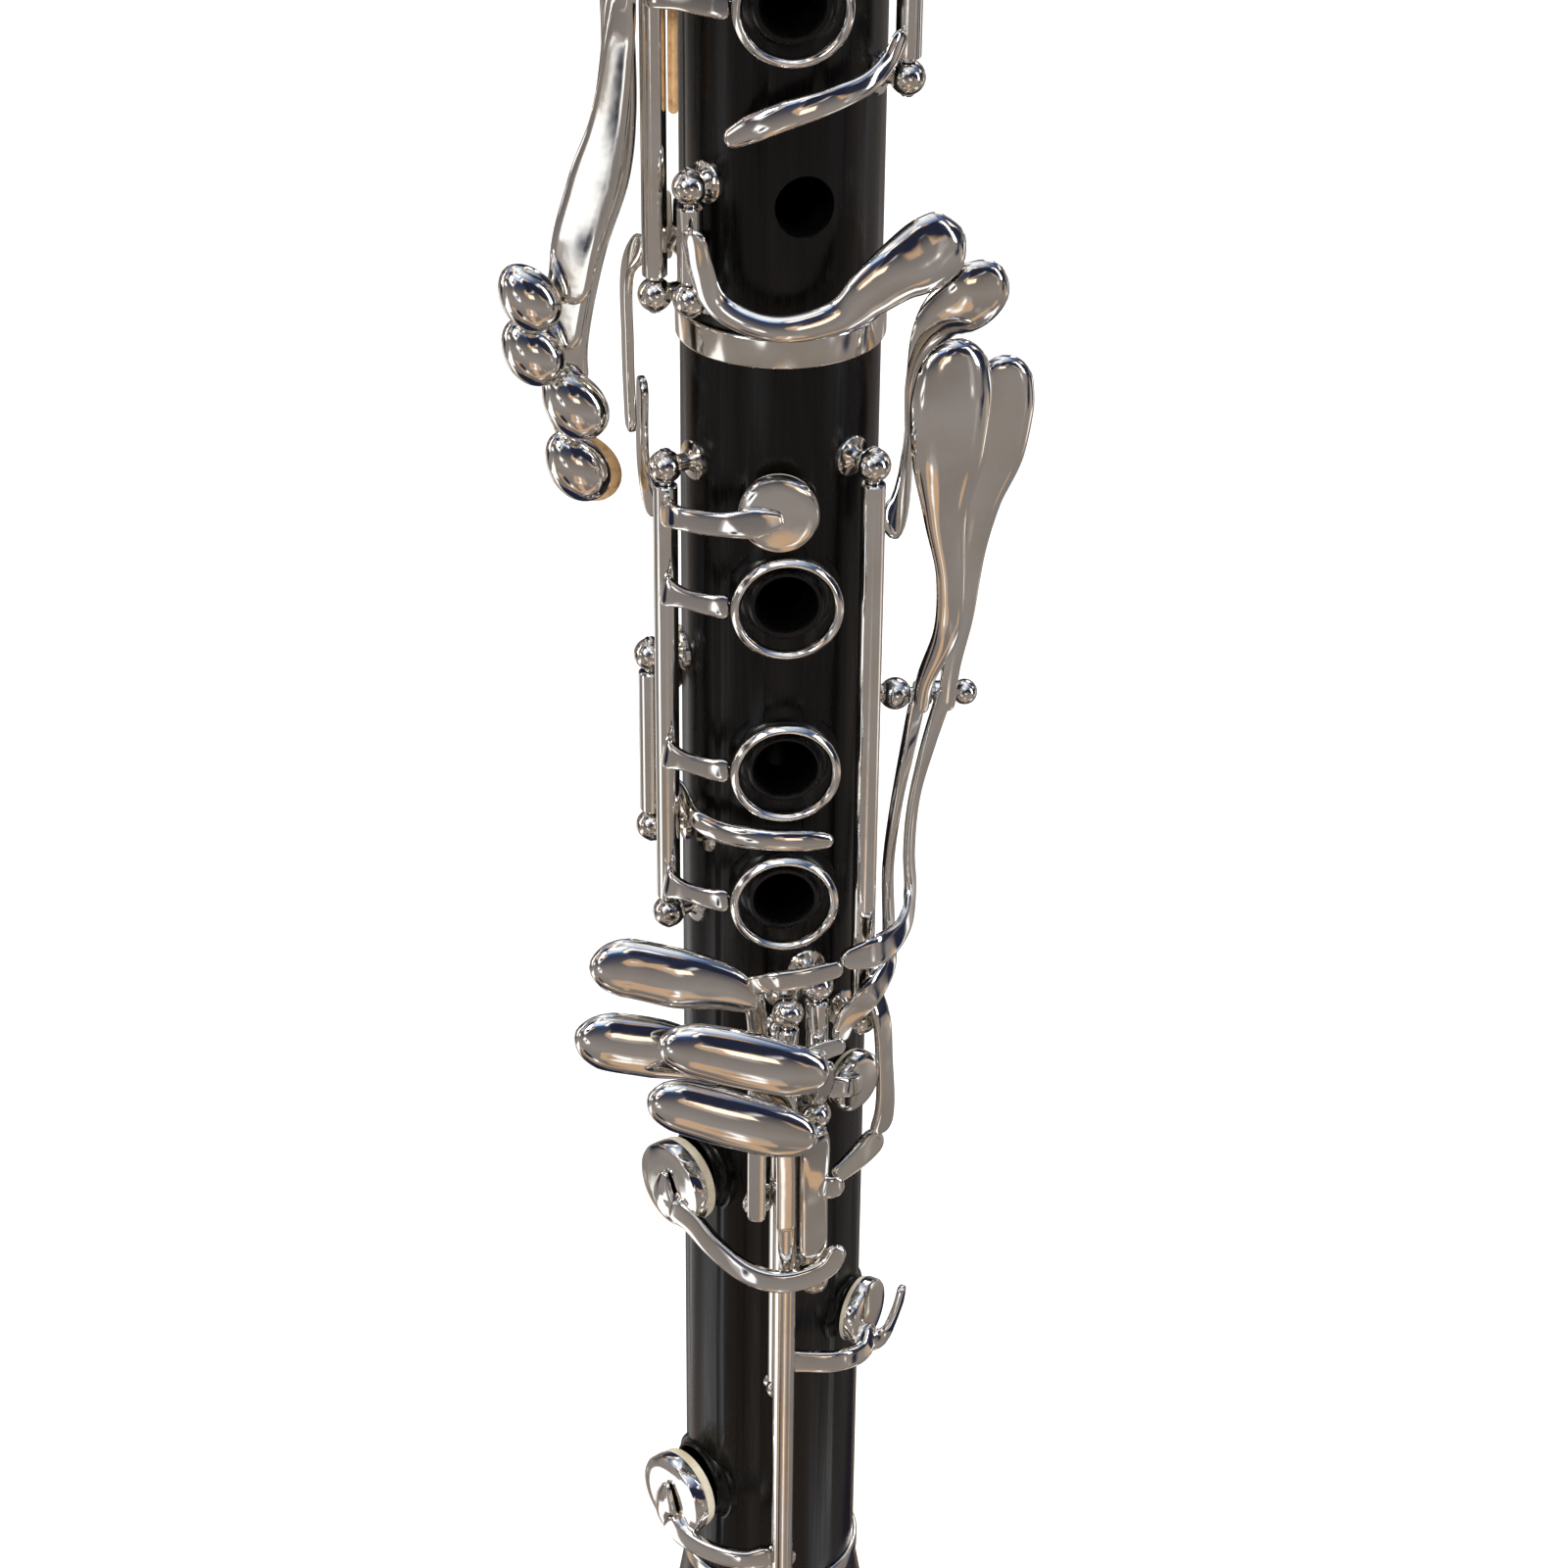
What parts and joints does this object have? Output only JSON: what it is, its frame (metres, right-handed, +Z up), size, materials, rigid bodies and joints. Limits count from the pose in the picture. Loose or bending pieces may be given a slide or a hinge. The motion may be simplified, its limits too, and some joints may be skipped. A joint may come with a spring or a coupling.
{
  "type": "clarinet",
  "caption": "Straight single-reed woodwind of five dark wood sections with plated ring keys, padded side keys and a flared bell, standing on its bell.",
  "frame": {"origin": "centre of the bell's rim, on the surface that the instrument stands on", "axes": "+Z up the bore to the mouthpiece tip, -Y the side of the finger rings, +X the player's left"},
  "size_m": [0.0778, 0.079, 0.668],
  "materials": {
    "wood": "oiled black hardwood, satin",
    "ebonite": "polished black hard rubber",
    "cane": "bare cane",
    "cork": "natural cork",
    "pad": "pale skin pad",
    "key_plate": "polished silver plate",
    "post_plate": "polished silver plate",
    "ring_plate": "polished silver plate",
    "ligature_plate": "polished nickel plate"
  },
  "bodies": {
    "instrument": {"bell": "wood", "bell_rim_ring": "ring_plate", "bell_socket_ring": "ring_plate", "lower_joint": "wood", "lower_socket_ring": "ring_plate", "lower_tenon_cork": "cork", "upper_joint": "wood", "middle_tenon_cork": "cork", "upper_tenon_cork": "cork", "barrel": "wood", "barrel_bottom_ring": "ring_plate", "barrel_top_ring": "ring_plate", "mouthpiece": "ebonite", "mouthpiece_cork": "cork", "reed": "cane", "ligature": "ligature_plate", "thumb_rest": "key_plate", "lower_stack_rod": "post_plate", "lower_sliver_rod": "post_plate", "right_e_b_rod": "post_plate", "right_f_sharp_rod": "post_plate", "right_f_c_rod": "post_plate", "left_f_c_rod": "post_plate", "left_pivot_rod": "post_plate", "upper_stack_rod": "post_plate", "thumb_ring_rod": "post_plate", "c_sharp_rod": "post_plate", "upper_sliver_rod": "post_plate", "throat_g_sharp_rod": "post_plate", "throat_a_rod": "post_plate", "register_rod": "post_plate", "side_key_rod": "post_plate"},
    "lower_ring_key": {"lower_ring_key": "key_plate", "lower_ring_pad": "pad"},
    "lower_sliver_key": {"lower_sliver_key": "key_plate"},
    "right_e_b_key": {"right_e_b_key": "key_plate", "right_e_b_pad": "pad"},
    "right_f_sharp_key": {"right_f_sharp_key": "key_plate", "right_f_sharp_pad": "pad"},
    "right_f_c_key": {"right_f_c_key": "key_plate", "right_f_c_pad": "pad"},
    "right_a_flat_key": {"right_a_flat_key": "key_plate", "right_a_flat_pad": "pad"},
    "left_f_c_lever": {"left_f_c_lever": "key_plate"},
    "first_ring_key": {"first_ring_key": "key_plate"},
    "second_ring_key": {"second_ring_key": "key_plate"},
    "thumb_ring_key": {"thumb_ring_key": "key_plate"},
    "c_sharp_key": {"c_sharp_key": "key_plate"},
    "upper_sliver_key": {"upper_sliver_key": "key_plate"},
    "throat_g_sharp_key": {"throat_g_sharp_key": "key_plate"},
    "left_e_b_lever": {"left_e_b_lever": "key_plate"},
    "left_f_sharp_lever": {"left_f_sharp_lever": "key_plate"},
    "throat_a_key": {"throat_a_key": "key_plate"},
    "register_key": {"register_key": "key_plate", "register_pad": "pad"},
    "side_key_1": {"side_key_1": "key_plate"},
    "side_key_2": {"side_key_2": "key_plate"},
    "side_key_3": {"side_key_3": "key_plate"},
    "side_key_4": {"side_key_4": "key_plate"}
  },
  "joints": [
    {"name": "register_hinge", "type": "hinge", "parent": "instrument", "child": "register_key", "pos_m": [0, 0.0186, 0.462], "axis": [-1, 0, 0], "range_deg": [0, 3], "stiffness_Nm_per_rad": 0.02, "springref_deg": -20.05},
    {"name": "throat_a_hinge", "type": "hinge", "parent": "instrument", "child": "throat_a_key", "pos_m": [0.00256, -0.01822, 0.458], "axis": [0.9903, 0.1392, 0], "range_deg": [0, 4], "stiffness_Nm_per_rad": 0.02, "springref_deg": -20.05},
    {"name": "throat_g_sharp_hinge", "type": "hinge", "parent": "instrument", "child": "throat_g_sharp_key", "pos_m": [0.01285, -0.01331, 0.438], "axis": [0, 0, -1], "range_deg": [0, 5], "stiffness_Nm_per_rad": 0.02, "springref_deg": -20.05},
    {"name": "thumb_ring_hinge", "type": "hinge", "parent": "instrument", "child": "thumb_ring_key", "pos_m": [-0.01577, 0.00986, 0.411], "axis": [0, 0, -1], "range_deg": [0, 3.5], "stiffness_Nm_per_rad": 0.02, "springref_deg": -20.05},
    {"name": "first_ring_hinge", "type": "hinge", "parent": "instrument", "child": "first_ring_key", "pos_m": [-0.01762, -0.00712, 0.4035], "axis": [0, 0, 1], "range_deg": [0, 3.5], "stiffness_Nm_per_rad": 0.02, "springref_deg": -20.05},
    {"name": "side_1_hinge", "type": "hinge", "parent": "instrument", "child": "side_key_1", "pos_m": [-0.0211, -0.00991, 0.3855], "axis": [0.1908, -0.9816, 0], "range_deg": [0, 1.2], "stiffness_Nm_per_rad": 0.02, "springref_deg": -20.05},
    {"name": "side_2_hinge", "type": "hinge", "parent": "instrument", "child": "side_key_2", "pos_m": [-0.02182, -0.00618, 0.3855], "axis": [0.1908, -0.9816, 0], "range_deg": [0, 1.2], "stiffness_Nm_per_rad": 0.02, "springref_deg": -20.05},
    {"name": "side_3_hinge", "type": "hinge", "parent": "instrument", "child": "side_key_3", "pos_m": [-0.02255, -0.00245, 0.3855], "axis": [0.1908, -0.9816, 0], "range_deg": [0, 1.1], "stiffness_Nm_per_rad": 0.02, "springref_deg": -20.05},
    {"name": "side_4_hinge", "type": "hinge", "parent": "instrument", "child": "side_key_4", "pos_m": [-0.02327, 0.00128, 0.3855], "axis": [0.1908, -0.9816, 0], "range_deg": [0, 2], "stiffness_Nm_per_rad": 0.02, "springref_deg": -20.05},
    {"name": "upper_sliver_hinge", "type": "hinge", "parent": "instrument", "child": "upper_sliver_key", "pos_m": [0.01589, -0.00845, 0.38], "axis": [0, 0, -1], "range_deg": [0, 4], "stiffness_Nm_per_rad": 0.02, "springref_deg": -20.05},
    {"name": "second_ring_hinge", "type": "hinge", "parent": "instrument", "child": "second_ring_key", "pos_m": [-0.01762, -0.00712, 0.355], "axis": [0, 0, 1], "range_deg": [0, 3.5], "stiffness_Nm_per_rad": 0.02, "springref_deg": -20.05},
    {"name": "c_sharp_hinge", "type": "hinge", "parent": "instrument", "child": "c_sharp_key", "pos_m": [-0.01302, -0.01093, 0.3395], "axis": [0, 0, 1], "range_deg": [0, 4], "stiffness_Nm_per_rad": 0.02, "springref_deg": -20.05},
    {"name": "lower_ring_hinge", "type": "hinge", "parent": "instrument", "child": "lower_ring_key", "pos_m": [-0.0165, -0.00859, 0.2695], "axis": [0, 0, 1], "range_deg": [0, 3.5], "stiffness_Nm_per_rad": 0.02, "springref_deg": -20.05},
    {"name": "left_e_b_hinge", "type": "hinge", "parent": "instrument", "child": "left_e_b_lever", "pos_m": [0.02149, -0.003, 0.266], "axis": [-1, 0, 0], "range_deg": [0, 0.9], "stiffness_Nm_per_rad": 0.02, "springref_deg": -20.05},
    {"name": "left_f_sharp_hinge", "type": "hinge", "parent": "instrument", "child": "left_f_sharp_lever", "pos_m": [0.02529, -0.003, 0.266], "axis": [-1, 0, 0], "range_deg": [0, 1.5], "stiffness_Nm_per_rad": 0.02, "springref_deg": -20.05},
    {"name": "left_f_c_hinge", "type": "hinge", "parent": "instrument", "child": "left_f_c_lever", "pos_m": [0.01207, -0.01389, 0.262], "axis": [0, 0, 1], "range_deg": [0, 3.6], "stiffness_Nm_per_rad": 0.02, "springref_deg": -20.05},
    {"name": "lower_sliver_hinge", "type": "hinge", "parent": "instrument", "child": "lower_sliver_key", "pos_m": [-0.01868, -0.00346, 0.2595], "axis": [0, 0, 1], "range_deg": [0, 3.5], "stiffness_Nm_per_rad": 0.02, "springref_deg": -20.05},
    {"name": "right_a_flat_hinge", "type": "hinge", "parent": "instrument", "child": "right_a_flat_key", "pos_m": [0.00497, -0.01855, 0.214], "axis": [0, 0, -1], "range_deg": [0, 5.5], "stiffness_Nm_per_rad": 0.02, "springref_deg": -20.05},
    {"name": "right_f_c_hinge", "type": "hinge", "parent": "instrument", "child": "right_f_c_key", "pos_m": [0.00497, -0.01855, 0.187], "axis": [0, 0, -1], "range_deg": [0, 5.5], "stiffness_Nm_per_rad": 0.02, "springref_deg": -20.05},
    {"name": "right_f_sharp_hinge", "type": "hinge", "parent": "instrument", "child": "right_f_sharp_key", "pos_m": [-0.00028, -0.01595, 0.182], "axis": [0, 0, -1], "range_deg": [0, 5.5], "stiffness_Nm_per_rad": 0.02, "springref_deg": -20.05},
    {"name": "right_e_b_hinge", "type": "hinge", "parent": "instrument", "child": "right_e_b_key", "pos_m": [0.00052, -0.01979, 0.166], "axis": [0, 0, -1], "range_deg": [0, 5.5], "stiffness_Nm_per_rad": 0.02, "springref_deg": -20.05}
  ],
  "couplings": [
    {"joint": "left_e_b_hinge", "follows": "right_e_b_hinge", "ratio": 0.1636},
    {"joint": "left_f_sharp_hinge", "follows": "right_f_sharp_hinge", "ratio": 0.2727},
    {"joint": "left_f_c_hinge", "follows": "right_f_c_hinge", "ratio": 0.6545}
  ]
}
